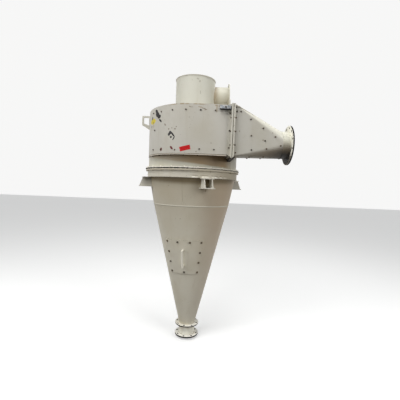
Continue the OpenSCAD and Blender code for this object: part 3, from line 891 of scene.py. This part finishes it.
joint_paint = paint_coat("joint_paint", tone=joint_white, marks=joint_marks)
coat(joint_paint, "barrel_flange", "cone_flange")
joint_rubber = rubber("seal_rubber", rubber_black, rubber_dust)
coat(joint_rubber, "joint_seal")
joint_head = hex_head("joint_head", across=0.014, height=0.006, washer=0.009)
spots = []
for number in range(joint_bolts):
    turn = radians(360 * (number + 0.5) / joint_bolts)
    x = (joint_r - joint_bolt_in) * sin(turn)
    y = -(joint_r - joint_bolt_in) * cos(turn)
    spots.append((Vector((x, y, joint_top_z)), (0, 0, 1)))
    spots.append((Vector((x, y, joint_low_z)), (0, 0, -1)))
set_out("joint_bolts", joint_head, spots, joint_paint)
bpy.ops.mesh.primitive_torus_add(
    major_segments=240, minor_segments=8, major_radius=joint_r - caulk_in, minor_radius=caulk_r,
    location=(0, 0, joint_seal_z))
caulk = bpy.context.object
caulk.name = "joint_caulk"
bpy.ops.object.mode_set(mode="EDIT")
bpy.ops.mesh.select_all(action="SELECT")
bpy.ops.transform.vertex_random(offset=0.0012, uniform=0.2, normal=0.8, seed=4)
# It stands out further along the front left
select_where(caulk, "FACE", lambda middle: middle.x < -0.03 and middle.y < 0)
bpy.ops.transform.shrink_fatten(value=caulk_swell)
bpy.ops.transform.vertex_random(offset=0.002, uniform=0.2, normal=0.8, seed=5)
leave_edit(caulk, smooth=60)
finish_piece(caulk, joint_rubber)
ring_weld("barrel_flange_weld", barrel_r, width=0.006, middle=(0, 0, joint_top_z + weld_off))

# Stiffening band: a rolled flat below the joint, closed by a ring that is welded to the cone. It
# is yellowed, and dustier towards the inlet.
band_white = (0.60, 0.565, 0.475, 1)
band_low_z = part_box("ring_band")[0].z


def band_marks(tree, where, place, colour):
    """Dust towards the inlet, chips, and a lower edge rubbed white with a dark line over it."""
    colour = tint(tree, fade(tree, place["X"], 0.0, 0.48, 0.7), colour, pale_dust_and_shade)
    rubbed = both(tree, fade(tree, place["X"], -0.04, 0.02), fade(tree, place["X"], 0.40, 0.32))
    patchy = fade(tree, noise(tree, where, 22, 4), 0.36, 0.56, 0.8)
    rubbed = both(tree, rubbed, patchy)
    up = sums(tree, "SUBTRACT", place["Z"], band_low_z)
    lip = both(tree, rubbed, fade(tree, up, 0.014, 0.010))
    line = both(tree, fade(tree, up, 0.012, 0.016), fade(tree, up, 0.025, 0.020, 0.7))
    colour = tint(tree, both(tree, rubbed, line), colour, dirt_and_shade_brown)
    colour = tint(tree, lip, colour, joint_white)
    return chipped(tree, where, place, colour)


coat(paint_coat("band_paint", tone=band_white, marks=band_marks), "ring_band", "band_lip")

# Cone: two lengths of 5 mm plate rolled to a cone and joined by a level weld, with one weld down
# each length. Painted shade darkens it upwards, painted shadow with brown dirt lies just under the
# band, and it is yellower towards the inlet.
cone_white = (0.685, 0.65, 0.548, 1)
warm_dust = (0.43, 0.32, 0.215, 1)
band_shadow_dirt = (0.15, 0.115, 0.062, 1)
seam_white = (0.57, 0.545, 0.455, 1)
# Angle of each length's weld from the front, and how far it stops short of the plate's ends
seam_angles = (("cone_upper", -10.5), ("cone_lower", 168))
seam_end = 0.012
cone_top_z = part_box("band_lip")[0].z
# X, Z, half width, half height and lean
cone_stains = (
    (-0.235, 0.022, 0.006, 0.004, 0),
    (0.155, -0.020, 0.005, 0.018, 0),
    (-0.100, -0.330, 0.006, 0.004, 0),
)


def cone_marks(tree, where, place, colour):
    """Painted shade upwards, inlet-side dust, painted shadow and dirt under the band, and stains.
    """
    # Painted shade: the cone darkens towards its top, where less light reaches it
    high = fade(tree, place["Z"], cone_top_z - 0.85, cone_top_z - 0.02, 0.6)
    colour = tint(tree, high, colour, pale_dust_and_shade)
    side = fade(tree, place["X"], -0.02, 0.34, 0.6)
    colour = tint(tree, side, colour, warm_dust)
    front = fade(tree, place["Y"], -0.1, -0.25)
    # Painted shadow with dirt just under the band, on the front
    band_shade_haze = both(tree, fade(tree, place["Z"], cone_top_z - 0.15, cone_top_z - 0.03, 0.3), front)
    colour = tint(tree, band_shade_haze, colour, band_shadow_dirt)
    edge = sums(tree, "MULTIPLY_ADD", both(tree, place["X"], place["X"]), -0.12, place["Z"])
    edge = sums(tree, "MULTIPLY_ADD", noise(tree, where, 12, 4), 0.014, edge)
    shadow_soiled = both(tree, fade(tree, edge, 0.028, 0.080, 0.9), front)
    colour = tint(tree, shadow_soiled, colour, band_shadow_dirt)
    return blots(tree, where, colour, cone_stains, dirt_and_shade_brown, ragged=1.0, strength=0.5)


cone_paint = paint_coat("cone_paint", tone=cone_white, dirt=0.25, marks=cone_marks)
coat(cone_paint, "cone_upper", "cone_lower")
coat(paint_coat("seam_paint", tone=seam_white, dirt=0.3), "seam_weld")
for name, angle in seam_angles:
    low = from_side(name, angle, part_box(name)[0].z + seam_end)[0]
    high, outward = from_side(name, angle, min(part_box(name)[1].z, cone_top_z) - seam_end)
    sunk = outward * weld_off
    straight_weld(name + "_seam", low - sunk, high - sunk, width=0.006, paint=cone_paint)

# Inspection door: a curved plate on a rubber seal, held by eleven bolts. The bolts are bare and
# dark. Its handle is a round bar on two legs, welded on, and whiter than the door.
door_bolt_brown = (0.085, 0.075, 0.055, 1)
door_bolt_rust = (0.14, 0.105, 0.065, 1)
# Angle from the front in degrees, and Z
door_bolts = (
    (-43.2, -0.597), (-20.8, -0.596), (1.8, -0.593), (22.8, -0.593),
    (-43.0, -0.718), (-42.8, -0.837), (22.4, -0.712), (22.4, -0.829),
    (-42.4, -0.949), (-9.4, -0.947), (22.2, -0.945),
)


def door_marks(tree, where, place, colour):
    """The cone's painted shade, dust and stains, and chips along the edges."""
    return chipped(tree, where, place, cone_marks(tree, where, place, colour))


coat(paint_coat("door_paint", tone=cone_white, dirt=0.25, marks=door_marks), "inspection_door")
coat(joint_rubber, "door_seal")
coat(paint_coat("handle_paint", tone=joint_white, marks=chipped), "door_handle")
door_steel = bare_metal("door_steel", door_bolt_brown, door_bolt_rust)
door_head = hex_head("door_head", across=0.017, height=0.009, washer=0.012)
spots = [from_side("inspection_door", angle, z) for angle, z in door_bolts]
set_out("door_bolts", door_head, spots, door_steel)

# Discharge: a short pipe welded between two drilled plate flanges. The flange tops are whiter
# than the cone, and their rims are nearly black.
discharge_white = (0.95, 0.93, 0.85, 1)
neck_white = (0.92, 0.90, 0.80, 1)
neck_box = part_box("discharge_neck")


def discharge_marks(tree, where, place, colour):
    """A black rim and black hole walls."""
    return tint(tree, rim_and_hole_walls(tree, "Z"), colour, black_scrape_and_shade)


discharge_paint = paint_coat(
    "discharge_paint", tone=discharge_white, shine=0.08, marks=discharge_marks)
coat(discharge_paint, "cone_foot_flange", "discharge_flange")
coat(paint_coat("neck_paint", tone=neck_white, dirt=0.5), "discharge_neck")
neck_welds = (
    ("cone_foot_weld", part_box("cone_foot_flange")[1].z + weld_off),
    ("neck_top_weld", neck_box[1].z - weld_off),
    ("neck_low_weld", neck_box[0].z + weld_off),
)
for name, z in neck_welds:
    ring_weld(name, neck_box[1].x, width=0.006, middle=(0, 0, z))

# Feet: plates and gussets welded to the cone under the stiffening band, chipped and stained. The
# front one is the lightest. The left one has painted shadow that deepens towards the cone and up
# under the band, and the other two are darker all over, apart from their lighter top plates.
front_foot_white = (0.66, 0.635, 0.56, 1)
foot_white = (0.43, 0.41, 0.355, 1)
left_foot_shadow = (0.20, 0.185, 0.15, 1)
left_foot_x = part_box("foot_left")[0].x
foot_top_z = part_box("foot_right")[1].z
foot_plate_low_z = foot_top_z - 0.012


def foot_marks(tree, where, place, colour):
    """A lighter top plate, and chips along the edges."""
    top_plate_mask = fade(tree, place["Z"], foot_plate_low_z - 0.001, foot_plate_low_z + 0.001, 0.8)
    return chipped(tree, where, place, tint(tree, top_plate_mask, colour, joint_white))


def left_foot_marks(tree, where, place, colour):
    """Painted shadow that deepens upwards and towards the cone, and chips along the edges."""
    # Painted shadow from the band above, deeper towards the cone
    inwards = fade(tree, place["X"], left_foot_x + 0.02, left_foot_x + 0.10, 0.8)
    upwards = add(tree, "MapRange", {"Value": place["Z"], "From Max": foot_top_z, "To Min": 0.35})
    shadowed = both(tree, inwards, upwards.outputs[0])
    return chipped(tree, where, place, tint(tree, shadowed, colour, left_foot_shadow))


coat(paint_coat("front_foot_paint", tone=front_foot_white, dirt=0.4, marks=chipped), "foot_front")
foot_paint = paint_coat("foot_paint", tone=foot_white, dirt=0.6, marks=foot_marks)
coat(foot_paint, "foot_right", "foot_rear")
left_foot_paint = paint_coat(
    "left_foot_paint", tone=front_foot_white, dirt=0.6, marks=left_foot_marks)
coat(left_foot_paint, "foot_left")

# Lifting lugs and eye plate: flame cut plates welded on edge, the lugs with a wide opening and
# the other with a round eye. They are painted as the frames are, and chipped along their edges.
coat(paint_coat("lug_paint", tone=frame_white, marks=chipped), "left_lug", "rear_lug", "roof_eye")

# Clip plate: a galvanised angle clamped on the leg of the head's frame with one bolt. It has no
# paint, and the zinc has gone dull in patches.
zinc = (0.42, 0.43, 0.43, 1)
zinc_dark = (0.20, 0.225, 0.26, 1)
clip_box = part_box("clip_plate")
clip_bolt_x = 0.317
clip_bolt_down = 0.014


def clip_marks(tree, where, place, colour):
    """Nearly black along the lower edge."""
    low = fade(tree, place["Z"], clip_box[0].z + 0.016, clip_box[0].z + 0.009, 0.95)
    return tint(tree, low, colour, black_scrape_and_shade)


coat(bare_metal("zinc_steel", zinc, zinc_dark, metallic=0.4, marks=clip_marks), "clip_plate")
spots = [from_front("clip_plate", clip_bolt_x, clip_box[1].z - clip_bolt_down)]
set_out("clip_bolt", small_head, spots, black_bolts)

# The bolts that were copied are taken away
for model in (small_head, frame_nut, joint_head, door_head):
    bpy.data.objects.remove(model)
